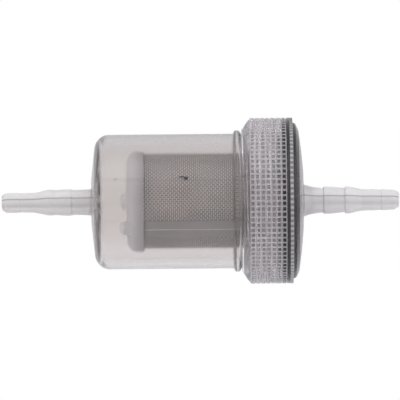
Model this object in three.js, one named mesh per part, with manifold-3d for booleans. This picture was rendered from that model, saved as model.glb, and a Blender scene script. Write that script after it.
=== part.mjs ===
// A see-through in-line fuel filter: a clear bowl and a clear screw cap, each drawn out into a
// barbed hose spigot, closed on a flat rubber ring around a push-fit element of fine mesh.
//
// Millimetres. The filter lies along X, with the bowl's spigot at -X and the screw cap at +X.
// Its stations are counted from the inlet tip, and the whole group is then moved back by half
// the length, so that the origin is the middle of the filter on its axis.

import * as THREE from "three";
import { mergeVertices } from "three/addons/utils/BufferGeometryUtils.js";
import Module from "manifold-3d";

const wasm = await Module();
wasm.setup();

// ---------- driving dimensions ----------

const LENGTH = 88.2; // inlet tip to outlet tip
const SIDES = 48; // flats round every turned shape
const TURN = 2 * Math.PI;
const GAP = 0.3; // left between pieces that touch

const BORE_R = 1.15; // through both spigots

const INLET_BASE = 19.93; // outer face of the bowl's closed end
const BOWL_R = 14.95;
const BOWL_INNER_R = 13.0;
const END_WALL = 22.5; // inner face of the bowl's closed end
const MOUTH = 61.6;
const BEAD_R = 15.72;
const BEAD_START = 51.5;
const BEAD_END = 53.1;

const CAP_LIP = 53.35;
const CAP_INNER_R = 15.3;
const CAP_ROOT_R = 17.9; // bottom of the knurl's grooves
const KNURL_R = 18.4; // top of the knurl's teeth
const KNURL_START = 55.3;
const KNURL_END = 64.5;
const KNURL_TEETH = 96;
const ROOF = 64.9; // inner face of the cap's domed end
const OUTLET_BASE = 67.1; // outer face of the cap's domed end

const PITCH = 2.3; // travel of the cap in one turn
const THREAD_START = 54.6; // middle of the bowl's ridge at its first end
const THREAD_TURNS = 2.5;
const THREAD_CREST_R = 15.75;
const RIDGE_BASE = 1.0; // width of the ridge where it leaves the bowl
const RIDGE_CREST = 0.6;
const THREAD_ROOM = 0.3; // clear space on each flank in the cap's groove

const SOCKET_R = 9.4; // tube in the cap that the element pushes on
const SOCKET_INNER_R = 6.6;
const SOCKET_END = 57.8;
const SEAL_GROOVE = { from: 59.4, to: 61.2, r: 7.9 };

const RIM_SEAL = { from: MOUTH + GAP, to: ROOF - GAP, inner: 12.6, outer: CAP_INNER_R - GAP };

const ELEMENT_R = 11.1; // end cap and collar
const ELEMENT_FACE = 27.8; // outer face of the end cap
const ELEMENT_CAP_END = 31.2;
const COLLAR_START = 56.9;
const COLLAR_END = 62.0;
const SCREEN_R = 10.45;
const SCREEN_WALL = 0.25;
const RIB_COUNT = 3;
const FIRST_RIB = THREE.MathUtils.degToRad(95); // from +Y towards +Z
const RIB_WIDTH = 4.4;
const LUG = { length: 1.6, width: 2.9, inner: 8.7, outer: 10.9 };
const LUG_ANGLE = THREE.MathUtils.degToRad(215); // in line with a rib
const STUB = { length: 1.3, r: 1.8 }; // moulding stub at the end cap's centre

// ---------- solids ----------

// Keeps only positions, with shared corners merged, no collapsed triangle and faces pointing out.
function closed(geometry) {
  const bare = geometry.clone();
  bare.deleteAttribute("normal");
  bare.deleteAttribute("uv");
  const merged = mergeVertices(bare, 1e-4);
  const index = merged.index.array;
  const at = merged.attributes.position;
  const kept = [];
  for (let i = 0; i < index.length; i += 3) {
    const [a, b, c] = [index[i], index[i + 1], index[i + 2]];
    if (a !== b && b !== c && c !== a) kept.push(a, b, c);
  }
  const corner = (i) => new THREE.Vector3().fromBufferAttribute(at, i);
  let volume = 0;
  for (let i = 0; i < kept.length; i += 3) {
    volume += corner(kept[i]).dot(corner(kept[i + 1]).cross(corner(kept[i + 2])));
  }
  if (volume < 0) kept.reverse();
  merged.setIndex(kept);
  return merged;
}

function toManifold(geometry) {
  const merged = closed(geometry);
  const mesh = new wasm.Mesh({
    numProp: 3,
    vertProperties: new Float32Array(merged.attributes.position.array),
    triVerts: new Uint32Array(merged.index.array),
  });
  return new wasm.Manifold(mesh);
}

function toGeometry(manifold) {
  const mesh = manifold.getMesh();
  const geometry = new THREE.BufferGeometry();
  geometry.setAttribute("position", new THREE.BufferAttribute(mesh.vertProperties, 3));
  geometry.setIndex(new THREE.BufferAttribute(mesh.triVerts, 1));
  return geometry;
}

const add = (a, b) => toGeometry(toManifold(a).add(toManifold(b)));
const subtract = (a, b) => toGeometry(toManifold(a).subtract(toManifold(b)));

// Turns an outline of [station, radius] points about the filter's axis. The outline closes on
// itself, or starts and ends on the axis.
function turned(outline) {
  const points = outline.map(([station, radius]) => new THREE.Vector2(radius, station));
  if (outline[0][1] > 0) points.push(points[0].clone());
  return closed(new THREE.LatheGeometry(points, SIDES).rotateZ(-Math.PI / 2));
}

const ring = (from, to, inner, outer) =>
  turned([
    [from, inner],
    [from, outer],
    [to, outer],
    [to, inner],
  ]);

// The points of a quarter turn, each made from its cosine and sine.
function quarter(steps, point) {
  const points = [];
  for (let i = 0; i <= steps; i += 1) {
    const angle = (i / steps) * (Math.PI / 2);
    points.push(point(Math.cos(angle), Math.sin(angle)));
  }
  return points;
}

// A ridge that climbs one pitch a turn, right-handed. Its section is a trapezium, base wide at
// radius inner and crest wide at radius outer. When it fades, it sinks into its base over the
// first and last quarter turn.
function helix({ start, turns, inner, outer, base, crest, fades }) {
  const steps = Math.round(turns * SIDES);
  const fade = SIDES / 4;
  const positions = [];
  for (let i = 0; i <= steps; i += 1) {
    const angle = (i / SIDES) * TURN;
    const station = start + (i / SIDES) * PITCH;
    const rise = fades ? Math.min(1, (Math.min(i, steps - i) + 1) / fade) : 1;
    const top = inner + (outer - inner) * rise;
    const section = [
      [-base / 2, inner],
      [-crest / 2, top],
      [crest / 2, top],
      [base / 2, inner],
    ];
    for (const [along, radius] of section) {
      positions.push(station + along, radius * Math.cos(angle), radius * Math.sin(angle));
    }
  }
  const index = [];
  const quad = (a, b, c, d) => index.push(a, b, c, a, c, d);
  for (let i = 0; i < steps; i += 1) {
    for (let side = 0; side < 4; side += 1) {
      const next = (side + 1) % 4;
      quad(4 * i + side, 4 * i + next, 4 * i + 4 + next, 4 * i + 4 + side);
    }
  }
  quad(3, 2, 1, 0);
  quad(4 * steps, 4 * steps + 1, 4 * steps + 2, 4 * steps + 3);
  const geometry = new THREE.BufferGeometry();
  geometry.setAttribute("position", new THREE.Float32BufferAttribute(positions, 3));
  geometry.setIndex(index);
  return closed(geometry);
}

// ---------- hose spigots ----------

// Both spigots as [distance from the tip, radius], the first barb facing the tip.
const INLET_SPIGOT = [
  [0, BORE_R],
  [0, 1.6],
  [0.6, 1.95],
  [1.3, 2.18],
  [3.6, 2.18],
  [3.9, 2.12],
  [7.3, 2.2],
  [8.6, 2.44],
  [10.2, 2.82],
  [11.3, 2.82],
  [11.9, 2.72],
  [14.2, 2.92],
  [15.2, 2.92],
  [15.7, 2.77],
  [17.6, 2.78],
  [19.2, 2.92],
];

const OUTLET_SPIGOT = [
  [0, BORE_R],
  [0, 1.55],
  [0.35, 1.85],
  [1.2, 2.18],
  [3.8, 2.33],
  [4.0, 2.2],
  [8.3, 2.37],
  [9.6, 2.67],
  [11.2, 2.98],
  [11.9, 3.0],
  [12.05, 2.68],
  [13.6, 2.82],
  [15.2, 3.0],
  [16.5, 3.0],
  [16.75, 2.7],
  [18.4, 2.9],
  [20.1, 3.2],
];

// ---------- bowl ----------

function bowl() {
  const cornerOuter = quarter(6, (c, s) => [23.9 - 3.3 * c, 11.4 + (BOWL_R - 11.4) * s]);
  const cornerInner = quarter(3, (c, s) => [END_WALL + 0.6 * (1 - s), BOWL_INNER_R - 0.6 * (1 - c)]);
  const body = turned([
    ...INLET_SPIGOT,
    [INLET_BASE, 3.3],
    [INLET_BASE, 5.2],
    [20.2, 9.0],
    ...cornerOuter,
    [BEAD_START, BOWL_R],
    [BEAD_START + 0.2, 15.5],
    [BEAD_START + 0.55, BEAD_R],
    [BEAD_END - 0.55, BEAD_R],
    [BEAD_END - 0.2, 15.5],
    [BEAD_END, BOWL_R],
    [MOUTH - 0.3, BOWL_R],
    [MOUTH, BOWL_R - 0.3],
    [MOUTH, BOWL_INNER_R],
    ...cornerInner,
    [END_WALL, BORE_R],
  ]);
  const ridge = helix({
    start: THREAD_START,
    turns: THREAD_TURNS,
    inner: BOWL_R - 0.2,
    outer: THREAD_CREST_R,
    base: RIDGE_BASE,
    crest: RIDGE_CREST,
    fades: true,
  });
  return add(body, ridge);
}

// ---------- screw cap ----------

// The knurled band, a toothed ring that overlaps the cap's skirt.
function knurl() {
  const outline = new THREE.Shape();
  for (let i = 0; i < 2 * KNURL_TEETH; i += 1) {
    const angle = (i / (2 * KNURL_TEETH)) * TURN;
    const radius = i % 2 === 0 ? KNURL_R : CAP_ROOT_R;
    const move = i === 0 ? "moveTo" : "lineTo";
    outline[move](radius * Math.cos(angle), radius * Math.sin(angle));
  }
  outline.closePath();
  const hole = new THREE.Path();
  for (let i = 0; i < SIDES; i += 1) {
    const angle = (-i / SIDES) * TURN;
    const radius = CAP_ROOT_R - 0.6;
    const move = i === 0 ? "moveTo" : "lineTo";
    hole[move](radius * Math.cos(angle), radius * Math.sin(angle));
  }
  hole.closePath();
  outline.holes.push(hole);
  const band = new THREE.ExtrudeGeometry(outline, {
    depth: KNURL_END - KNURL_START,
    bevelEnabled: false,
  });
  return closed(band.rotateY(Math.PI / 2).translate(KNURL_START, 0, 0));
}

function screwCap() {
  const spigot = OUTLET_SPIGOT.map(([fromTip, radius]) => [LENGTH - fromTip, radius]);
  const body = turned([
    [CAP_LIP, CAP_INNER_R],
    [CAP_LIP, 15.6],
    [53.93, 16.55],
    [54.6, 17.42],
    [55.2, CAP_ROOT_R],
    [KNURL_END, CAP_ROOT_R],
    [64.75, 17.3],
    [65.3, 17.0],
    [65.95, 15.7],
    [66.3, 13.6],
    [66.6, 11.1],
    [66.9, 7.6],
    [OUTLET_BASE, 5.6],
    [OUTLET_BASE, 3.6],
    ...spigot.reverse(),
    [67.6, BORE_R],
    [ROOF, 3.4],
    [ROOF, SOCKET_INNER_R],
    [SOCKET_END, SOCKET_INNER_R],
    [SOCKET_END, SOCKET_R],
    [SEAL_GROOVE.from, SOCKET_R],
    [SEAL_GROOVE.from, SEAL_GROOVE.r],
    [SEAL_GROOVE.to, SEAL_GROOVE.r],
    [SEAL_GROOVE.to, SOCKET_R],
    [ROOF, SOCKET_R],
    [ROOF, CAP_INNER_R],
  ]);
  const groove = helix({
    start: THREAD_START - PITCH,
    turns: THREAD_TURNS + 1.25,
    inner: CAP_INNER_R - 0.4,
    outer: THREAD_CREST_R + GAP,
    base: RIDGE_BASE + 2 * THREAD_ROOM,
    crest: RIDGE_CREST + 2 * THREAD_ROOM,
    fades: false,
  });
  return subtract(add(body, knurl()), groove);
}

// ---------- seals ----------

const rimSeal = () => ring(RIM_SEAL.from, RIM_SEAL.to, RIM_SEAL.inner, RIM_SEAL.outer);

// A round-section ring in the groove of the cap's socket.
function outletSeal() {
  const centre = (SEAL_GROOVE.from + SEAL_GROOVE.to) / 2;
  const sectionR = (SEAL_GROOVE.to - SEAL_GROOVE.from) / 2 - GAP;
  const ringR = SEAL_GROOVE.r + GAP + sectionR;
  const outline = [];
  for (let i = 0; i < 10; i += 1) {
    const angle = (i / 10) * TURN;
    outline.push([centre + sectionR * Math.cos(angle), ringR + sectionR * Math.sin(angle)]);
  }
  return turned(outline);
}

// ---------- filter element ----------

const ribAngles = Array.from({ length: RIB_COUNT }, (_, i) => FIRST_RIB + (i / RIB_COUNT) * TURN);

// A block that stands on the filter's axis at an angle, between two stations and two radii.
function block(from, to, inner, outer, width, angle) {
  const box = new THREE.BoxGeometry(to - from, outer - inner, width);
  return box.translate((from + to) / 2, (inner + outer) / 2, 0).rotateX(angle);
}

// The closed end: a rounded disc with a stub and a lug outside and a centring boss inside.
function endCap() {
  const disc = turned([
    [ELEMENT_FACE - STUB.length, 0],
    [ELEMENT_FACE - STUB.length, STUB.r - 0.3],
    [ELEMENT_FACE - STUB.length + 0.3, STUB.r],
    [ELEMENT_FACE, STUB.r],
    [ELEMENT_FACE, 9.2],
    [ELEMENT_FACE + 0.25, 10.2],
    [ELEMENT_FACE + 0.6, 10.75],
    [ELEMENT_FACE + 1.3, ELEMENT_R],
    [ELEMENT_CAP_END, ELEMENT_R],
    [ELEMENT_CAP_END, 8.1],
    [ELEMENT_CAP_END + 1.6, 8.1],
    [ELEMENT_CAP_END + 1.6, 0],
  ]);
  const from = ELEMENT_FACE - LUG.length;
  const lug = block(from, ELEMENT_FACE + 1.4, LUG.inner, LUG.outer, LUG.width, LUG_ANGLE);
  return add(disc, lug);
}

const collar = () => ring(COLLAR_START, COLLAR_END, SOCKET_R + GAP, ELEMENT_R);

const screen = () =>
  ring(ELEMENT_CAP_END + GAP, COLLAR_START - GAP, SCREEN_R - SCREEN_WALL, SCREEN_R);

// Three ribs between two rings, which hold the screen open from inside.
function supportCage() {
  const outer = SCREEN_R - SCREEN_WALL - GAP;
  const inner = outer - 1.5;
  const from = ELEMENT_CAP_END + GAP;
  const to = COLLAR_START - GAP;
  let solid = add(ring(from, from + 1.5, inner, outer), ring(to - 1.5, to, inner, outer));
  for (const angle of ribAngles) {
    solid = add(solid, block(from + 0.4, to - 0.4, inner + 0.1, inner + 1.15, RIB_WIDTH, angle));
  }
  return solid;
}

// ---------- assembly ----------

const clear = (colour) =>
  new THREE.MeshStandardMaterial({
    color: colour,
    roughness: 0.08,
    metalness: 0,
    transparent: true,
    opacity: 0.4,
  });
const solidLook = (colour, roughness, metalness = 0) =>
  new THREE.MeshStandardMaterial({ color: colour, roughness, metalness });

const pieces = [
  ["bowl", bowl(), clear(0xdedad8)],
  ["screw_cap", screwCap(), clear(0xdcdae0)],
  ["rim_seal", rimSeal(), solidLook(0x16161c, 0.6)],
  ["outlet_seal", outletSeal(), solidLook(0x16161c, 0.6)],
  ["element_end_cap", endCap(), solidLook(0xe6e4ea, 0.5)],
  ["element_collar", collar(), solidLook(0xe6e4ea, 0.5)],
  ["support_cage", supportCage(), solidLook(0xdad8dc, 0.5)],
  ["mesh_screen", screen(), solidLook(0xa5a1a3, 0.4, 0.8)],
];

const filter = new THREE.Group();
for (const [name, geometry, material] of pieces) {
  const mesh = new THREE.Mesh(geometry, material);
  mesh.name = name;
  filter.add(mesh);
}
filter.position.x = -LENGTH / 2;

export default filter;
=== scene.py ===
"""The looks of a see-through in-line fuel filter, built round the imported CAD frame.

Lengths are millimetres, and MM turns them into Blender's metres. A station is the distance along
the axis from the inlet tip, and an angle goes round the axis from +Y towards +Z. A corner of an
outline is (station, radius, fillet).
"""

import math

import bmesh
import bpy
import numpy as np
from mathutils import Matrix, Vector


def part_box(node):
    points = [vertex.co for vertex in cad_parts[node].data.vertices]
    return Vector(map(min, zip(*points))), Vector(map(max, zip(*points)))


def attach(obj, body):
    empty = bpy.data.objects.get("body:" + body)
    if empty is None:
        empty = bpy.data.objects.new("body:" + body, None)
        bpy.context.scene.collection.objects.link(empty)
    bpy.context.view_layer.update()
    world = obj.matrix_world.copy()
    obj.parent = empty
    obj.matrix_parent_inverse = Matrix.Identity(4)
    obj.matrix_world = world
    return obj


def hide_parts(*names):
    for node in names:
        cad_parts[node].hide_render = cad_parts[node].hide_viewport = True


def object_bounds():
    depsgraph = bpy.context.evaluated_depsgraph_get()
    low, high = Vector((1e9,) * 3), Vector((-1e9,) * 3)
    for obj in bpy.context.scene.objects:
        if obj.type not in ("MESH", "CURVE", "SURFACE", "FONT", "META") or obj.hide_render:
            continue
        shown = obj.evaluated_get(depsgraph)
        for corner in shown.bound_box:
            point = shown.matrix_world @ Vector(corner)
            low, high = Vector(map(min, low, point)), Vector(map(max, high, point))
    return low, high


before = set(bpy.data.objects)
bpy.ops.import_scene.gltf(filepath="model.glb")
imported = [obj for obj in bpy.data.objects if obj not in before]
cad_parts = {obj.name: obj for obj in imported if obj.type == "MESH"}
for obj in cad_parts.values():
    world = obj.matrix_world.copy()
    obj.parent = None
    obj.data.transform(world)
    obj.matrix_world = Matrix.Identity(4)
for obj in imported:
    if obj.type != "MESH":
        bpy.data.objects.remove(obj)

MM = 0.001
TURN = 2 * math.pi
cad_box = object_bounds()


# ---------- sizes, from the frame ----------


def span(node):
    """The first and last station of a CAD node."""
    low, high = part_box(node)
    return (low[0] - TIP_X) / MM, (high[0] - TIP_X) / MM


def reach(node):
    """The outer radius of a CAD node."""
    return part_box(node)[1][1] / MM


TIP_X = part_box("bowl")[0][0]
LENGTH = (cad_box[1][0] - cad_box[0][0]) / MM
MOUTH = span("bowl")[1]
CAP_LIP = span("screw_cap")[0]
KNURL_TOP = reach("screw_cap")
SEAL_FROM = span("rim_seal")[0]
LUG_TIP, BOSS_END = span("element_end_cap")
ELEMENT_R = reach("element_end_cap")
SCREEN = span("mesh_screen")
SCREEN_R = reach("mesh_screen")
COLLAR = span("element_collar")
OUTLET_SEAL = span("outlet_seal")
OUTLET_SEAL_R = reach("outlet_seal")


# ---------- sizes that the nodes' boxes don't give ----------

BORE_R = 1.15
BORE_EDGE_R = 1.4  # a spigot's faces past this radius are on its outside or its tip's edge
SPIGOT_SKIN_R = 1.9  # a spigot is thicker than this, except at its tip
BOWL_R = 14.95
BOWL_INNER_R = 13.0
INLET_BASE = 19.93  # where the inlet spigot leaves the bowl
END_WALL = 22.5  # the inside of the bowl's end wall
SIDE = (23.0, 51.4)  # the bowl's plain side, up to its bead
THREAD_FROM = 53.2  # past the bead, where the threaded part begins
OUTLET_BASE = 67.1  # where the outlet spigot leaves the dome
ROOF = 64.9  # the inside of the cap's roof
CAP_INNER_R = 15.3

PITCH = 2.3
THREAD_START = 54.6
THREAD_TURNS = 2.5
THREAD_HEIGHT = 0.8
RIDGE_WIDTHS = (1.0, 0.6)  # of the bowl's thread, at its foot and at its crest
GROOVE_WIDTHS = (1.6, 1.2)  # of the cap's thread, at its mouth and at its bottom

COLUMNS = 192  # round each housing
KNURL_CELLS = COLUMNS // 2
KNURL_ROWS = 7
KNURL_FROM = 55.1
KNURL_TO = 63.2
BEVEL_FROM = 54.2  # the band's first edge, which is grooved too
RIM_FROM = 63.92  # the band's last edge, a row of teeth painted light and dark by turns
RIM_TO = 64.73
KNURL_DEPTH = 0.26
KNURL_GROOVE = 0.4  # across the top of the groove between two pads
KNURL_ROOT = KNURL_TOP - KNURL_DEPTH

PARTING = math.radians(160)  # the mould's parting line, with a second one opposite
SPIGOT_SEAM = (0.34, 0.07)  # how wide and how high the line stands
SIDE_SEAM = (0.5, 0.01)

RIB_ANGLES = [math.radians(95 + 120 * i) for i in range(3)]
LUG_ANGLE = math.radians(215)
PRESSED = 0.02  # how far the squeezed seal goes into the cap


# ---------- outlines ----------


def rounded(corners, steps=5):
    """A closed outline's corners as a list of points, with each fillet as an arc.

    A short straight is kept on each side of an arc, so that smooth shading stays in the arc.
    """
    points = []
    count = len(corners)
    for i, (station, radius, fillet) in enumerate(corners):
        here = Vector((station, radius))
        if fillet == 0:
            points.append(here)
            continue
        before = Vector(corners[i - 1][:2]) - here
        after = Vector(corners[(i + 1) % count][:2]) - here
        half = before.angle(after) / 2
        back = min(fillet / math.tan(half), 0.45 * before.length, 0.45 * after.length)
        first = here + before.normalized() * back
        last = here + after.normalized() * back
        size = back * math.tan(half)
        inward = (before.normalized() + after.normalized()).normalized()
        centre = here + inward * (size / math.sin(half))
        points.append(first + before.normalized() * 0.02 * back)
        start = first - centre
        turn = start.angle_signed(last - centre)
        points += [centre + spun(start, -turn * k / steps) for k in range(steps + 1)]
        points.append(last + after.normalized() * 0.02 * back)
    return points


def spun(arm, angle):
    """A 2-D vector turned by an angle."""
    return Vector(
        (
            arm.x * math.cos(angle) - arm.y * math.sin(angle),
            arm.x * math.sin(angle) + arm.y * math.cos(angle),
        )
    )


def ellipse(station, radius, length, height, steps=10):
    """Corners for a quarter ellipse from its far left up to its top, about a centre."""
    corners = []
    for k in range(steps + 1):
        turn = math.pi / 2 * k / steps
        corners.append((station - length * math.cos(turn), radius + height * math.sin(turn), 0))
    return corners


def refined(points, low, high, inner, outer, step):
    """The same outline, its straights split to step where they meet these stations and radii."""
    result = []
    for here, after in zip(points, points[1:] + points[:1]):
        result.append(here)
        middle = (here + after) / 2
        if not (inner <= middle.y <= outer):
            continue
        if max(here.x, after.x) < low or min(here.x, after.x) > high:
            continue
        length = (after - here).length
        parts = max(1, round(length / step))
        result += [here.lerp(after, k / parts) for k in range(1, parts)]
    return result


# ---------- meshes ----------


def even_angles(columns):
    return [TURN * k / columns for k in range(columns)]


def around(station, radius, angle):
    """A point from its station, radius and angle, as station, Y and Z."""
    return (station, radius * math.cos(angle), radius * math.sin(angle))


def tube_faces(first, second, count):
    """Quads between two closed rows of vertices, by each row's first index."""
    return [
        (first + j, first + (j + 1) % count, second + (j + 1) % count, second + j)
        for j in range(count)
    ]


def end_faces(first, last, count):
    """The two faces that close a tube, by its first and last row's first index."""
    return [tuple(reversed(range(first, first + count))), tuple(range(last, last + count))]


def new_object(name, vertices, faces):
    """An object from vertices given as station, Y and Z."""
    placed = np.asarray(vertices, dtype=float) * MM + np.array([TIP_X, 0.0, 0.0])
    mesh = bpy.data.meshes.new(name)
    mesh.from_pydata(placed.tolist(), [], faces)
    mesh.validate()
    mesh.update()
    mesh.shade_smooth()
    obj = bpy.data.objects.new(name, mesh)
    bpy.context.scene.collection.objects.link(obj)
    return obj


def place_of(polygon):
    """The station and radius of a face's centre."""
    return (polygon.center.x - TIP_X) / MM, polygon.center.yz.length / MM


def weld(obj):
    """Joins vertices that lie on each other, and makes all faces point out."""
    work = bmesh.new()
    work.from_mesh(obj.data)
    bmesh.ops.remove_doubles(work, verts=work.verts, dist=1e-7)
    bmesh.ops.recalc_face_normals(work, faces=work.faces)
    work.to_mesh(obj.data)
    work.free()


def joined(target, others):
    """One object of several, as one mesh, whose faces keep their material indices."""
    pieces = [target, *others]
    indices = [face.material_index for obj in pieces for face in obj.data.polygons]
    with bpy.context.temp_override(active_object=target, selected_editable_objects=pieces):
        bpy.ops.object.join()
    target.data.polygons.foreach_set("material_index", indices)
    return target


def revolved(points, angles, relief=None):
    """Vertices and quads of a closed outline turned about the axis.

    relief(station, radius, angle) is a height added to each radius, for threads and mould marks.
    """
    station = np.array([p.x for p in points])[:, None]
    radius = np.array([p.y for p in points])[:, None]
    angle = np.asarray(angles)[None, :]
    full = radius + (relief(station, radius, angle) if relief else 0 * angle)
    vertices = np.stack(
        [station + 0 * angle, full * np.cos(angle), full * np.sin(angle)], axis=-1
    ).reshape(-1, 3)
    rows, columns = len(points), len(angles)
    faces = []
    for i in range(rows):
        faces += tube_faces(i * columns, (i + 1) % rows * columns, columns)
    return vertices, faces


def ring(name, corners, columns=128):
    """A turned piece that needs no relief."""
    vertices, faces = revolved(rounded(corners, steps=6), even_angles(columns))
    return new_object(name, vertices, faces)


def lug(angle, low, high, inner, outer, width, softness):
    """A block with its edges rounded off, between two stations and two radii."""
    rows, columns = 16, 24
    latitude = (np.arange(rows) + 0.5) / rows * math.pi - math.pi / 2
    longitude = (np.arange(columns) + 0.5) / columns * TURN
    up, turn = np.meshgrid(latitude, longitude, indexing="ij")
    ball = np.stack([np.cos(up) * np.cos(turn), np.cos(up) * np.sin(turn), np.sin(up)], axis=-1)
    half = np.array([high - low, outer - inner, width]) / 2
    block = np.sign(ball) * (half - softness) + ball * softness
    station = block[..., 0] + (low + high) / 2
    out = block[..., 1] + (inner + outer) / 2
    across = block[..., 2]
    y = out * math.cos(angle) - across * math.sin(angle)
    z = out * math.sin(angle) + across * math.cos(angle)
    vertices = np.stack([station, y, z], axis=-1).reshape(-1, 3)
    faces = []
    for i in range(rows - 1):
        faces += tube_faces(i * columns, (i + 1) * columns, columns)
    faces += end_faces(0, (rows - 1) * columns, columns)
    return new_object("lug", vertices, faces)


# ---------- threads and mould marks ----------


def ridge(station, angle, start, turns, base, crest):
    """How far up a thread ridge's flank a point is, from 0 at its foot to 1 on its crest."""
    part = (angle % TURN) / TURN
    turn = part + np.round((station - start) / PITCH - part)
    away = np.abs(station - start - PITCH * turn)
    flank = np.clip((base / 2 - away) / ((base - crest) / 2), 0, 1)
    fade_turns = 0.25  # over which the ridge grows at each end
    fade = np.clip(np.minimum(turn, turns - turn) / fade_turns + 0.05, 0, 1)
    return flank * fade


def seam(radius, angle, width, height):
    """The raised parting lines of the mould."""
    away = np.abs((angle - PARTING + TURN / 4) % (TURN / 2) - TURN / 4) * radius
    return height * np.clip(1 - (away / (width / 2)) ** 2, 0, 1)


def seam_angles():
    """Even steps round the axis, with a few more close to the two parting lines."""
    angles = even_angles(COLUMNS)
    for middle in (PARTING, PARTING + math.pi):
        for offset in (-1.0, -0.6, -0.25, 0.25, 0.6, 1.0):
            angles.append((middle + math.radians(offset)) % TURN)
    angles = sorted(angles)
    return [a for a, b in zip(angles, angles[1:] + [TURN]) if b - a > math.radians(0.1)]


# ---------- bowl ----------

INLET_SPIGOT = [
    (0, BORE_R, 0.12),
    (0, 1.62, 0.35),
    (1.0, 2.16, 0.8),
    (3.65, 2.2, 0.12),
    (3.95, 2.1, 0.25),
    (7.4, 2.2, 1.5),
    (10.3, 2.84, 1.0),
    (11.4, 2.84, 0.3),
    (11.9, 2.73, 0.3),
    (13.9, 2.92, 1.0),
    (15.3, 2.93, 0.4),
    (15.75, 2.76, 0.3),
    (18.2, 2.8, 1.2),
]


def bowl_outline():
    outline = rounded(
        [
            *INLET_SPIGOT,
            (INLET_BASE, 2.95, 0.3),
            (INLET_BASE, 5.2, 2.0),
            *ellipse(23.9, 11.4, 3.3, BOWL_R - 11.4),
            (51.5, BOWL_R, 0.15),
            (51.75, 15.72, 0.55),
            (52.85, 15.72, 0.55),
            (53.1, BOWL_R, 0.15),
            (MOUTH, BOWL_R, 0.3),
            (MOUTH, BOWL_INNER_R, 0.2),
            (END_WALL, BOWL_INNER_R, 0.5),
            (END_WALL, BORE_R, 0.2),
        ]
    )
    skin = (BOWL_R - 0.05, BOWL_R + 0.05)
    outline = refined(outline, THREAD_FROM, MOUTH - 0.4, *skin, 0.1)
    outline = refined(outline, *SIDE, *skin, 1.0)
    return refined(outline, 0, INLET_BASE, SPIGOT_SKIN_R, 5.0, 0.4)


def bowl_relief(station, radius, angle):
    """The bowl's thread, and the parting lines on its spigot and side."""
    threaded = (radius > BOWL_R - 0.7) & (station > THREAD_FROM) & (station < MOUTH - 0.05)
    on_spigot = (station < INLET_BASE - 0.3) & (radius > SPIGOT_SKIN_R)
    on_side = (station > SIDE[0]) & (station < SIDE[1]) & (radius > BOWL_R - 0.05)
    thread = THREAD_HEIGHT * ridge(station, angle, THREAD_START, THREAD_TURNS, *RIDGE_WIDTHS)
    return (
        np.where(threaded, thread, 0.0)
        + np.where(on_spigot, seam(radius, angle, *SPIGOT_SEAM), 0.0)
        + np.where(on_side, seam(radius, angle, *SIDE_SEAM), 0.0)
    )


def make_bowl():
    """The bowl in clear plastic (0), with its spigot's outside in hazy plastic (1)."""
    shell = new_object("bowl_shell", *revolved(bowl_outline(), seam_angles(), bowl_relief))
    for polygon in shell.data.polygons:
        station, radius = place_of(polygon)
        if station < INLET_BASE - 0.1 and radius > BORE_EDGE_R:
            polygon.material_index = 1
    pip = lug(PARTING, 25.2, 25.7, BOWL_R - 0.3, BOWL_R + 0.2, width=0.5, softness=0.2)
    return joined(shell, [pip])


# ---------- screw cap ----------

OUTLET_SPIGOT = [
    (OUTLET_BASE, 3.55, 0.3),
    (68.9, 3.0, 1.5),
    (71.4, 2.7, 0.5),
    (71.55, 3.01, 0.12),
    (73.0, 3.0, 0.8),
    (76.15, 2.66, 0.1),
    (76.3, 3.0, 0.12),
    (77.3, 2.95, 0.8),
    (79.9, 2.36, 1.2),
    (82.4, 2.36, 1.5),
    (84.25, 2.2, 0.08),
    (84.4, 2.33, 0.1),
    (87.2, 2.2, 0.8),
    (LENGTH, 1.6, 0.35),
    (LENGTH, BORE_R, 0.12),
]


def cap_outline():
    socket_r = 9.4
    socket_inner = 6.6
    socket_end = 57.8
    o_ring_groove = (59.4, 61.2)
    groove_r = 7.9
    outline = rounded(
        [
            (CAP_LIP, CAP_INNER_R, 0.1),
            (CAP_LIP, 15.6, 0.12),
            (54.5, 17.45, 1.8),
            (KNURL_FROM, KNURL_ROOT, 0),
            (KNURL_TO, KNURL_ROOT, 0),
            (KNURL_TO + 0.12, KNURL_TOP, 0),
            (RIM_FROM - 0.05, KNURL_TOP, 0),
            (RIM_FROM + 0.02, KNURL_TOP, 0),
            (64.64, KNURL_TOP, 0.12),
            (64.72, 17.35, 0.1),
            (65.35, 17.05, 0.4),
            (66.0, 15.6, 1.2),
            (66.6, 11.1, 6.0),
            (67.0, 6.6, 4.0),
            *OUTLET_SPIGOT,
            (67.6, BORE_R, 0.4),
            (ROOF, 3.6, 0.3),
            (ROOF, socket_inner, 0.3),
            (socket_end, socket_inner, 0.2),
            (socket_end, socket_r, 0.3),
            (o_ring_groove[0], socket_r, 0.1),
            (o_ring_groove[0], groove_r, 0.1),
            (o_ring_groove[1], groove_r, 0.1),
            (o_ring_groove[1], socket_r, 0.1),
            (ROOF, socket_r, 0.3),
            (ROOF, CAP_INNER_R, 0.03),
        ]
    )
    wall = (CAP_INNER_R - 0.1, CAP_INNER_R + 0.1)
    outline = refined(outline, CAP_LIP + 0.15, SEAL_FROM, *wall, 0.12)
    return refined(outline, OUTLET_BASE, LENGTH, SPIGOT_SKIN_R, 4.0, 0.5)


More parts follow.
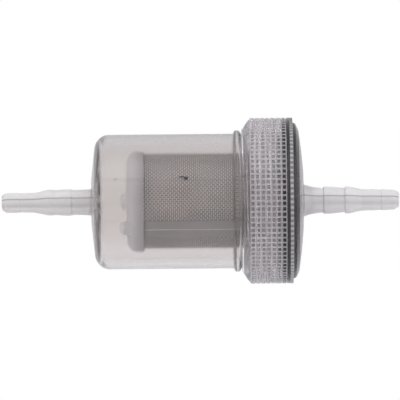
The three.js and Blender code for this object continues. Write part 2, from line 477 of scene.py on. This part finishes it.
def cap_relief(station, radius, angle):
    """The cap's thread, its spigot's parting lines, and the teeth along the band's two edges."""
    threaded = (np.abs(radius - CAP_INNER_R) < 0.1) & (station < SEAL_FROM)
    thread = (THREAD_HEIGHT - 0.05) * ridge(
        station, angle, THREAD_START - PITCH, THREAD_TURNS + 1.25, *GROOVE_WIDTHS
    )
    on_spigot = (station > OUTLET_BASE + 0.4) & (radius > SPIGOT_SKIN_R)
    between_teeth = 1 - np.round(angle / TURN * COLUMNS) % 2
    bevel = np.clip((station - BEVEL_FROM) / (KNURL_FROM - BEVEL_FROM), 0, 1)
    bevel = np.where((station < KNURL_FROM) & (radius > 16.5), bevel * (1 - bevel), 0)
    on_rim = (station > RIM_FROM) & (station < 65.0) & (radius > 17.2)
    tooth_share = np.where(on_rim, 0.6, 0.0) + 3 * bevel  # of the knurl's depth
    return (
        np.where(threaded, thread, 0.0)
        + np.where(on_spigot, seam(radius, angle, *SPIGOT_SEAM), 0.0)
        - KNURL_DEPTH * between_teeth * tooth_share
    )


def knurl_vertices(angles):
    """The knurl's grid of low points, and after it the four top corners of each cell's pad."""
    pitch = (KNURL_TO - KNURL_FROM) / KNURL_ROWS
    grid = [
        around(KNURL_FROM + row * pitch, KNURL_ROOT, angle)
        for row in range(KNURL_ROWS + 1)
        for angle in angles
    ]
    a = KNURL_GROOVE / 2 / pitch
    b = KNURL_GROOVE / 2 / (TURN * KNURL_TOP / KNURL_CELLS)
    pads = []
    for row in range(KNURL_ROWS):
        for cell in range(KNURL_CELLS):
            for along, across in ((a, b), (a, 1 - b), (1 - a, 1 - b), (1 - a, b)):
                angle = (cell + across) / KNURL_CELLS * TURN
                pads.append(around(KNURL_FROM + (row + along) * pitch, KNURL_TOP, angle))
    return grid, pads


def knurl_cell(row, cell, first_row, first_pad):
    """One small flat-topped pyramid between two rows of the grid: six sides, and the pad last."""
    a = first_row + row * COLUMNS
    b = a + COLUMNS
    left, middle, right = 2 * cell, 2 * cell + 1, (2 * cell + 2) % COLUMNS
    t1 = first_pad + 4 * (row * KNURL_CELLS + cell)
    t2, t3, t4 = t1 + 1, t1 + 2, t1 + 3
    return [
        (a + left, t1, t2, a + middle),
        (a + middle, t2, a + right),
        (a + right, t2, t3, b + right),
        (b + right, t3, b + middle),
        (b + middle, t3, t4, b + left),
        (b + left, t4, t1, a + left),
        (t1, t4, t3, t2),
    ]


def paint_cap(obj, plain_faces):
    """Gives the cap's faces their materials, which are numbered as cap_materials lists them."""
    clear, matt_grooves_painted_light, spigot, painted_shade_teeth, pads = range(5)
    for i, polygon in enumerate(obj.data.polygons[:plain_faces]):
        station, radius = place_of(polygon)
        if RIM_FROM < station < RIM_TO and radius > 17.3:
            # The rim's teeth are painted light and dark by turns: painted highlight and painted
            # shade.
            polygon.material_index = matt_grooves_painted_light if i % 2 == 0 else painted_shade_teeth
        elif station > OUTLET_BASE + 0.1 and radius > BORE_EDGE_R:
            polygon.material_index = spigot
    for i, polygon in enumerate(obj.data.polygons[plain_faces:]):
        polygon.use_smooth = False
        is_pad = i % 7 == 6
        in_last_rows = i // 7 >= (KNURL_ROWS - 2) * KNURL_CELLS
        # The knurl's groove faces take the frosted plastic: a matt finish, whose whitish colour is
        # also a painted highlight along the grooves.
        if not is_pad:
            polygon.material_index = matt_grooves_painted_light
        # Pads on the first five rows take a hazier copy of the clear plastic, which is lighter:
        # painted light.
        else:
            polygon.material_index = clear if in_last_rows else pads


def make_cap():
    """The cap as a turned shell, with the knurl's grid in place of its plain band."""
    outline = cap_outline()
    angles = even_angles(COLUMNS)
    vertices, faces = revolved(outline, angles, cap_relief)
    at_root = {round(p.x, 4): i for i, p in enumerate(outline) if abs(p.y - KNURL_ROOT) < 1e-6}
    start = at_root[round(KNURL_FROM, 4)]
    end = at_root[round(KNURL_TO, 4)]
    del faces[start * COLUMNS : end * COLUMNS]
    plain_faces = len(faces)
    grid, pads = knurl_vertices(angles)
    first_row = len(vertices)
    first_pad = first_row + len(grid)
    for row in range(KNURL_ROWS):
        for cell in range(KNURL_CELLS):
            faces += knurl_cell(row, cell, first_row, first_pad)
    obj = new_object("cap_shell", [*vertices.tolist(), *grid, *pads], faces)
    paint_cap(obj, plain_faces)
    weld(obj)
    return obj


# ---------- seals ----------


def make_rim_ring():
    """The flat seal, squeezed into the corner under the cap's roof."""
    low, high = SEAL_FROM, ROOF + PRESSED
    inner, outer = 13.3, CAP_INNER_R + PRESSED
    return ring(
        "rim_ring",
        [(low, inner, 0.4), (low, outer, 0.35), (high, outer, 0.05), (high, inner, 0.4)],
    )


def make_outlet_ring():
    """The O-ring, of nearly round section."""
    low, high = OUTLET_SEAL
    section = (high - low) / 2
    fillet = section * 0.98
    inner, outer = OUTLET_SEAL_R - 2 * section, OUTLET_SEAL_R
    return ring(
        "outlet_ring",
        [(low, inner, fillet), (low, outer, fillet), (high, outer, fillet), (high, inner, fillet)],
        columns=96,
    )


# ---------- element ----------


def make_collar():
    low, high = COLLAR
    inner = 9.7
    return ring(
        "collar_moulding",
        [(low, inner, 0.15), (low, ELEMENT_R, 0.3), (high, ELEMENT_R, 0.3), (high, inner, 0.5)],
    )


def make_end_cap():
    """The end cap in nylon (0), with its lug and centre stub in a whiter nylon (1), which is
    painted light.
    """
    face = 27.8
    stub_end = 26.5
    skirt_end = SCREEN[0] + 0.1
    boss_r = 8.1
    on_axis = 0.02
    moulding = ring(
        "end_cap_moulding",
        [
            (stub_end, on_axis, 0),
            (stub_end, 1.7, 0.8),
            (face, 1.9, 0.6),
            (face, 9.2, 0.9),
            (28.9, ELEMENT_R, 1.6),
            (skirt_end, ELEMENT_R, 0.25),
            (skirt_end, boss_r, 0.2),
            (BOSS_END, boss_r, 0.3),
            (BOSS_END, on_axis, 0),
        ],
    )
    side_lug = lug(LUG_ANGLE, LUG_TIP, face + 1.6, 8.7, 10.9, width=2.9, softness=1.05)
    moulding = joined(moulding, [side_lug])
    # The lug and stub take the whiter nylon: painted light.
    for polygon in moulding.data.polygons:
        if place_of(polygon)[0] < face - 0.05:
            polygon.material_index = 1
    return moulding


def make_cage():
    """Two rings and three ribs in nylon painted grey as shade (0), with a painted highlight of
    white nylon along each rib (1).
    """
    outer = SCREEN_R - 0.55
    inner = outer - 1.5
    ring_length = 1.5
    low, high = SCREEN
    rings = []
    for name, start in (("rib_cage", low), ("cage_ring", high - ring_length)):
        end = start + ring_length
        corners = [(start, inner, 0.2), (start, outer, 0.2), (end, outer, 0.2), (end, inner, 0.2)]
        rings.append(ring(name, corners))
    ribs = [rib(angle, low - 0.2, high + 0.2, inner + 0.3) for angle in RIB_ANGLES]
    return joined(rings[0], [rings[1], *ribs])


def rib(angle, low, high, inner):
    """A rib whose outer face follows the screen, just proud of it, with a thin raised line that is
    white nylon, a painted highlight.
    """
    proud = SCREEN_R + 0.12
    line_height = 0.1
    half = 2.2 / SCREEN_R
    steps = 20
    line = []
    profile = []
    for k in range(steps + 1):
        turn = -half + 2 * half * k / steps
        raised = abs(turn + 0.1 * half) < 0.08 * half
        if raised:
            line.append(k)
        profile.append((proud + (line_height if raised else 0.0), angle + turn))
    for k in range(steps + 1):
        profile.append((inner, angle + half - 2 * half * k / steps))
    stations = np.linspace(low, high, 24)
    vertices = [around(s, r, a) for s in stations for r, a in profile]
    count = len(profile)
    faces = []
    for i in range(len(stations) - 1):
        faces += tube_faces(i * count, (i + 1) * count, count)
    faces += end_faces(0, (len(stations) - 1) * count, count)
    obj = new_object("rib", vertices, faces)
    # Faces on the raised line get material 1, the white nylon: a painted highlight.
    for i, polygon in enumerate(obj.data.polygons[:-2]):
        polygon.material_index = 1 if i % count in line else 0
    weld(obj)
    return obj


# ---------- woven screen ----------

WIRE_R = 0.125
WIRE_SIDES = 5
CRIMP = 0.14  # how far a wire goes out and in from the middle of the weave
HOOPS = 56
LENGTHS = 144
WEAVE_R = SCREEN_R - WIRE_R - CRIMP


def lift(hoop, length):
    """1 where a lengthwise wire passes over a hoop, and -1 where it passes under."""
    return 1 if (hoop + length) % 2 == 0 else -1


def lengthwise_wires(stations, angles):
    vertices = []
    faces = []
    for i, angle in enumerate(angles):
        start = len(vertices)
        for k, station in enumerate(stations):
            for turn in even_angles(WIRE_SIDES):
                out = WEAVE_R + CRIMP * lift(k, i) + WIRE_R * math.cos(turn)
                side = WIRE_R * math.sin(turn)
                y = out * math.cos(angle) - side * math.sin(angle)
                z = out * math.sin(angle) + side * math.cos(angle)
                vertices.append((station, y, z))
        for k in range(HOOPS - 1):
            here = start + k * WIRE_SIDES
            faces += tube_faces(here + WIRE_SIDES, here, WIRE_SIDES)
        faces += end_faces(start + (HOOPS - 1) * WIRE_SIDES, start, WIRE_SIDES)
    return vertices, faces


def hoop_wires(stations, angles, first):
    """Hoops, with their faces numbered for vertices that begin at first."""
    vertices = []
    faces = []
    for k, station in enumerate(stations):
        start = first + len(vertices)
        for i, angle in enumerate(angles):
            for turn in even_angles(WIRE_SIDES):
                out = WEAVE_R - CRIMP * lift(k, i) + WIRE_R * math.cos(turn)
                vertices.append(around(station + WIRE_R * math.sin(turn), out, angle))
        for i in range(LENGTHS):
            here = start + i * WIRE_SIDES
            after = start + (i + 1) % LENGTHS * WIRE_SIDES
            faces += tube_faces(here, after, WIRE_SIDES)
    return vertices, faces


def make_screen():
    """A plain weave of round wires, lengthwise (0) and hoops (1), with two specks of dirt (2). The
    lengthwise wires' darker grey is painted shade and the hoops' lighter grey a painted highlight,
    on one steel.
    """
    low, high = SCREEN
    stations = np.linspace(low + WIRE_R, high - WIRE_R, HOOPS)
    angles = even_angles(LENGTHS)
    vertices, faces = lengthwise_wires(stations, angles)
    more_vertices, more_faces = hoop_wires(stations, angles, len(vertices))
    obj = new_object("woven_screen", vertices + more_vertices, faces + more_faces)
    for polygon in obj.data.polygons[len(faces) :]:
        polygon.material_index = 1
    weld(obj)
    return joined(obj, make_debris())


def make_debris():
    """A speck and a fibre of dirt, caught on the outside of the screen."""
    out = SCREEN_R - 0.12
    speck = lug(math.radians(152.0), 40.6, 41.4, out, out + 0.4, width=0.55, softness=0.13)
    fibre = lug(math.radians(150.4), 39.4, 40.7, out, out + 0.3, width=0.25, softness=0.07)
    for piece in (speck, fibre):
        for polygon in piece.data.polygons:
            polygon.material_index = 2
    return [speck, fibre]


# ---------- shader nodes ----------


def material(name):
    """A new material and its node tree and main shader."""
    made = bpy.data.materials.new(name)
    made.use_nodes = True
    tree = made.node_tree
    return made, tree, tree.nodes["Principled BSDF"]


def noise(tree, scale, detail=3.0, stretch=(1.0, 1.0, 1.0)):
    """A noise texture fixed to the object's own metres, stretched along its axes."""
    where = tree.nodes.new("ShaderNodeTexCoord")
    mapping = tree.nodes.new("ShaderNodeMapping")
    texture = tree.nodes.new("ShaderNodeTexNoise")
    mapping.inputs["Scale"].default_value = stretch
    texture.inputs["Scale"].default_value = scale
    texture.inputs["Detail"].default_value = detail
    tree.links.new(where.outputs["Object"], mapping.inputs["Vector"])
    tree.links.new(mapping.outputs["Vector"], texture.inputs["Vector"])
    return texture.outputs["Fac"]


def ramp(tree, factor, low, high, start=0.3, end=0.7):
    """A colour that goes from low to high as the factor goes from start to end."""
    node = tree.nodes.new("ShaderNodeValToRGB")
    node.color_ramp.elements[0].position = start
    node.color_ramp.elements[1].position = end
    node.color_ramp.elements[0].color = (*low, 1)
    node.color_ramp.elements[1].color = (*high, 1)
    tree.links.new(factor, node.inputs["Fac"])
    return node.outputs["Color"]


def bump(tree, shader, height, distance):
    """Relief in the shading, up to a distance in metres."""
    node = tree.nodes.new("ShaderNodeBump")
    node.inputs["Strength"].default_value = 1.0
    node.inputs["Distance"].default_value = distance
    tree.links.new(height, node.inputs["Height"])
    tree.links.new(node.outputs["Normal"], shader.inputs["Normal"])


def remapped(tree, value, before, after=(0.0, 1.0), smooth=False):
    """A value taken from one range to another, and held to its ends."""
    node = tree.nodes.new("ShaderNodeMapRange")
    node.interpolation_type = "SMOOTHSTEP" if smooth else "LINEAR"
    node.inputs["From Min"].default_value = before[0]
    node.inputs["From Max"].default_value = before[1]
    node.inputs["To Min"].default_value = after[0]
    node.inputs["To Max"].default_value = after[1]
    tree.links.new(value, node.inputs["Value"])
    return node.outputs["Result"]


def calculated(tree, operation, *values):
    node = tree.nodes.new("ShaderNodeMath")
    node.operation = operation
    for value, socket in zip(values, node.inputs):
        tree.links.new(value, socket)
    return node.outputs["Value"]


def blended(tree, factor, colour, other):
    """A colour, and in its place a fixed other one where the factor is 1."""
    node = tree.nodes.new("ShaderNodeMix")
    node.data_type = "RGBA"
    node.inputs["B"].default_value = (*other, 1)
    tree.links.new(factor, node.inputs["Factor"])
    tree.links.new(colour, node.inputs["A"])
    return node.outputs["Result"]


def parting_line(tree):
    """1 close to the plane where the mould's halves meet, and 0 away from it."""
    where = tree.nodes.new("ShaderNodeTexCoord")
    across = tree.nodes.new("ShaderNodeVectorMath")
    across.operation = "DOT_PRODUCT"
    across.inputs[1].default_value = (0, -math.sin(PARTING), math.cos(PARTING))
    tree.links.new(where.outputs["Object"], across.inputs[0])
    away = calculated(tree, "ABSOLUTE", across.outputs["Value"])
    return remapped(tree, away, (0.09 * MM, 0.2 * MM), (1.0, 0.0))


# ---------- materials ----------


def clear_plastic(name, low, high, roughness, volume_colour, density, seam_tint, clear=1.0):
    """Moulded clear plastic, faintly grey, with soft waves in its surface and a parting line."""
    made, tree, shader = material(name)
    shader.inputs["Transmission Weight"].default_value = clear
    shader.inputs["IOR"].default_value = 1.5
    shader.inputs["Roughness"].default_value = roughness
    tint = ramp(tree, noise(tree, 120, 4, (1.0, 1.6, 1.6)), low, high)
    marked = blended(tree, parting_line(tree), tint, [seam_tint * c for c in low])
    tree.links.new(marked, shader.inputs["Base Color"])
    bump(tree, shader, noise(tree, 420, 2, (0.5, 1.0, 1.0)), 0.00001)
    volume = tree.nodes.new("ShaderNodeVolumeAbsorption")
    volume.inputs["Color"].default_value = (*volume_colour, 1)
    volume.inputs["Density"].default_value = density
    tree.links.new(volume.outputs["Volume"], tree.nodes["Material Output"].inputs["Volume"])
    return made


def frosted_plastic(name, low, high, clear, roughness):
    """Plastic that the mould leaves matt, and so only partly clear."""
    made, tree, shader = material(name)
    colour = ramp(tree, noise(tree, 300, 4), low, high)
    tree.links.new(colour, shader.inputs["Base Color"])
    shader.inputs["Transmission Weight"].default_value = clear
    shader.inputs["IOR"].default_value = 1.5
    shader.inputs["Roughness"].default_value = roughness
    bump(tree, shader, noise(tree, 3000, 3), 0.00001)
    return made


def rubber():
    made, tree, shader = material("black_rubber")
    colour = ramp(tree, noise(tree, 900), (0.006, 0.006, 0.009), (0.016, 0.016, 0.022))
    tree.links.new(colour, shader.inputs["Base Color"])
    shader.inputs["Roughness"].default_value = 0.42
    bump(tree, shader, noise(tree, 4000, 4), 0.00002)
    return made


def nylon():
    made, tree, shader = material("natural_nylon")
    colour = ramp(tree, noise(tree, 260, 4), (0.78, 0.77, 0.79), (0.85, 0.84, 0.87))
    tree.links.new(colour, shader.inputs["Base Color"])
    shader.inputs["Roughness"].default_value = 0.38
    shader.inputs["Subsurface Weight"].default_value = 0.25
    shader.inputs["Subsurface Radius"].default_value = (0.9, 0.9, 1.0)
    shader.inputs["Subsurface Scale"].default_value = 0.001
    bump(tree, shader, noise(tree, 2500, 3), 0.00002)
    return made


def nylon_with_painted_shade(low, high):
    """The end cap's nylon with painted shade: greyer towards its skirt, between two stations."""
    made, tree, shader = material("end_cap_nylon_painted_shade")
    where = tree.nodes.new("ShaderNodeTexCoord")
    split = tree.nodes.new("ShaderNodeSeparateXYZ")
    tree.links.new(where.outputs["Object"], split.inputs["Vector"])
    along = remapped(tree, split.outputs["X"], (TIP_X + low * MM, TIP_X + high * MM))
    # Painted shade: the colour darkens from the face to the skirt.
    colour = ramp(tree, along, (0.83, 0.82, 0.85), (0.48, 0.47, 0.48), 0.0, 1.0)
    tree.links.new(colour, shader.inputs["Base Color"])
    shader.inputs["Roughness"].default_value = 0.45
    bump(tree, shader, noise(tree, 2500, 3), 0.00002)
    return made


def cage_nylon_painted_shade():
    """The same nylon painted grey: painted shade for the dark inside that shows through it."""
    made, tree, shader = material("cage_nylon_painted_shade")
    streaks = noise(tree, 200, 4, (0.4, 1.0, 1.0))
    colour = ramp(tree, streaks, (0.34, 0.325, 0.32), (0.41, 0.39, 0.385))
    tree.links.new(colour, shader.inputs["Base Color"])
    shader.inputs["Roughness"].default_value = 0.35
    bump(tree, shader, noise(tree, 2500, 3), 0.00002)
    return made


def wire_mesh(name, low, high):
    made, tree, shader = material(name)
    colour = ramp(tree, noise(tree, 180, 4), low, high)
    tree.links.new(colour, shader.inputs["Base Color"])
    shader.inputs["Metallic"].default_value = 0.2
    shader.inputs["Roughness"].default_value = 0.4
    bump(tree, shader, noise(tree, 9000, 2), 0.000005)
    return made


def dirt():
    made, tree, shader = material("dirt")
    colour = ramp(tree, noise(tree, 2500), (0.008, 0.008, 0.01), (0.03, 0.028, 0.028))
    tree.links.new(colour, shader.inputs["Base Color"])
    shader.inputs["Roughness"].default_value = 0.8
    return made


# ---------- the room ----------


def make_camera():
    """A long lens square to the filter's side, rolled a little."""
    seen_width = 88.9 * MM
    distance = 1.5
    across, up = -0.06 * MM, 0.29 * MM
    roll = math.radians(0.51)
    lens = bpy.data.cameras.new("camera")
    lens.sensor_width = 36
    lens.lens = lens.sensor_width * distance / seen_width
    lens.clip_end = 10
    camera = bpy.data.objects.new("camera", lens)
    camera.location = (across, -distance, up)
    camera.rotation_euler = (math.radians(90), roll, 0)
    bpy.context.scene.collection.objects.link(camera)
    bpy.context.scene.camera = camera


def make_floor():
    bpy.ops.mesh.primitive_circle_add(vertices=96, radius=0.6, fill_type="NGON")
    floor = bpy.context.object
    floor.name = "floor"
    floor.location.z = -65 * MM
    pale, tree, shader = material("pale_floor")
    colour = ramp(tree, noise(tree, 4), (0.82, 0.82, 0.82), (0.84, 0.84, 0.84))
    tree.links.new(colour, shader.inputs["Base Color"])
    shader.inputs["Roughness"].default_value = 0.9
    floor.data.materials.append(pale)


def make_sky():
    """A sky that the camera sees as plain white.

    It lights the filter most from in front, in a ring round the camera.
    """
    world = bpy.data.worlds.new("white_sky")
    bpy.context.scene.world = world
    world.use_nodes = True
    tree = world.node_tree
    background = tree.nodes["Background"]
    where = tree.nodes.new("ShaderNodeTexCoord")
    split = tree.nodes.new("ShaderNodeSeparateXYZ")
    path = tree.nodes.new("ShaderNodeLightPath")
    seen = path.outputs["Is Camera Ray"]
    tree.links.new(where.outputs["Generated"], split.inputs["Vector"])

    height = remapped(tree, split.outputs["Z"], (-1.0, 1.0))
    tint = ramp(tree, height, (0.86, 0.83, 0.81), (0.965, 0.96, 1.0))
    colour = blended(tree, seen, tint, (1, 1, 1))
    tree.links.new(colour, background.inputs["Color"])

    depth = split.outputs["Y"]
    front = remapped(tree, depth, (-0.95, -0.65), (0.8, 1.35), smooth=True)
    back = remapped(tree, depth, (-0.4, 0.1), (0.0, -0.65), smooth=True)
    strength = calculated(tree, "MAXIMUM", calculated(tree, "ADD", front, back), seen)
    tree.links.new(strength, background.inputs["Strength"])


def make_lamp():
    """A soft box above, which isn't mirrored in the plastic."""
    lamp = bpy.data.lights.new("soft_box", "AREA")
    lamp.shape = "RECTANGLE"
    lamp.size = 0.35
    lamp.size_y = 0.25
    lamp.energy = 0.6
    lamp.color = (0.93, 0.96, 1.0)
    box = bpy.data.objects.new("soft_box", lamp)
    box.location = (0.05, -0.12, 0.5)
    box.rotation_euler = (-box.location).to_track_quat("-Z", "Y").to_euler()
    box.visible_glossy = False
    box.visible_transmission = False
    bpy.context.scene.collection.objects.link(box)


# ---------- the whole filter ----------

WARM_VOLUME = (0.12, 0.02, 0.0)  # the bowl's plastic lets red through a little better
GREY_VOLUME = (0.03, 0.0, 0.02)


def bowl_materials():
    clear = clear_plastic(
        "clear_bowl", (0.935, 0.905, 0.89), (0.95, 0.925, 0.91), 0.12, WARM_VOLUME, 14, 0.85
    )
    spigot = clear_plastic(
        "hazy_bowl_spigot",
        (0.985, 0.96, 0.95),
        (1.0, 0.98, 0.97),
        0.36,
        WARM_VOLUME,
        20,
        0.55,
        clear=0.5,
    )
    return [clear, spigot]


def cap_materials():
    """In the order that paint_cap numbers them."""
    clear = clear_plastic(
        "clear_cap", (0.96, 0.935, 0.95), (0.98, 0.955, 0.97), 0.13, GREY_VOLUME, 4, 0.6
    )
    # Matt frosted plastic for the knurl's grooves, its whitish colour also a painted highlight.
    matt_grooves_painted_light = frosted_plastic("frosted_grooves_painted_highlight", (0.85, 0.81, 0.83), (0.94, 0.9, 0.92), 0.6, 0.34)
    spigot = clear_plastic(
        "hazy_cap_spigot",
        (0.985, 0.96, 0.955),
        (1.0, 0.98, 0.975),
        0.36,
        GREY_VOLUME,
        4,
        0.55,
        clear=0.5,
    )
    # A dark copy of the frosted plastic, on every other tooth of the rim: painted shade.
    painted_shade_teeth = frosted_plastic("frosted_teeth_painted_shade", (0.3, 0.29, 0.28), (0.4, 0.39, 0.38), 0.5, 0.45)
    # A hazier, lighter copy of the cap's clear plastic for the first five rows of pads: painted
    # light.
    pads = clear_plastic(
        "hazy_pads_painted_light",
        (0.95, 0.91, 0.935),
        (0.98, 0.95, 0.965),
        0.13,
        GREY_VOLUME,
        4,
        0.8,
        clear=0.91,
    )
    return [clear, matt_grooves_painted_light, spigot, painted_shade_teeth, pads]


def finish_with(obj, materials, body, node):
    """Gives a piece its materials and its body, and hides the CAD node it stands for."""
    for each in materials:
        obj.data.materials.append(each)
    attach(obj, body)
    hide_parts(node)


make_camera()
make_floor()
make_sky()
make_lamp()

black = rubber()
white = nylon()
# Nylon painted grey for the cage's rings and ribs: painted shade.
grey = cage_nylon_painted_shade()
# A whiter copy of the nylon for the end cap's lug and stub: painted light.
nylon_painted_light = frosted_plastic("whiter_nylon_painted_light", (0.97, 0.95, 0.95), (1.0, 0.98, 0.98), 0.0, 0.6)
# One steel in two greys: painted shade on the lengthwise wires, painted highlight on the hoops.
lengthwise = wire_mesh("lengthwise_wire_painted_shade", (0.34, 0.32, 0.31), (0.46, 0.43, 0.41))
hoops = wire_mesh("hoop_wire_painted_highlight", (0.94, 0.90, 0.87), (1.0, 0.97, 0.95))
# The end cap's colours are painted light and shade: darker towards the skirt, whiter on the lug
# and stub.
end_cap = [nylon_with_painted_shade(low=28.8, high=31.6), nylon_painted_light]

finish_with(make_bowl(), bowl_materials(), "bowl", "bowl")
finish_with(make_cap(), cap_materials(), "cap", "screw_cap")
finish_with(make_rim_ring(), [black], "seal", "rim_seal")
finish_with(make_outlet_ring(), [black], "cap", "outlet_seal")
finish_with(make_end_cap(), end_cap, "element", "element_end_cap")
finish_with(make_collar(), [white], "element", "element_collar")
finish_with(make_cage(), [grey, white], "element", "support_cage")
finish_with(make_screen(), [lengthwise, hoops, dirt()], "element", "mesh_screen")

bpy.context.scene.view_settings.view_transform = "Standard"
bpy.context.scene.cycles.max_bounces = 48
bpy.context.scene.cycles.transmission_bounces = 48
bpy.context.scene.cycles.glossy_bounces = 16
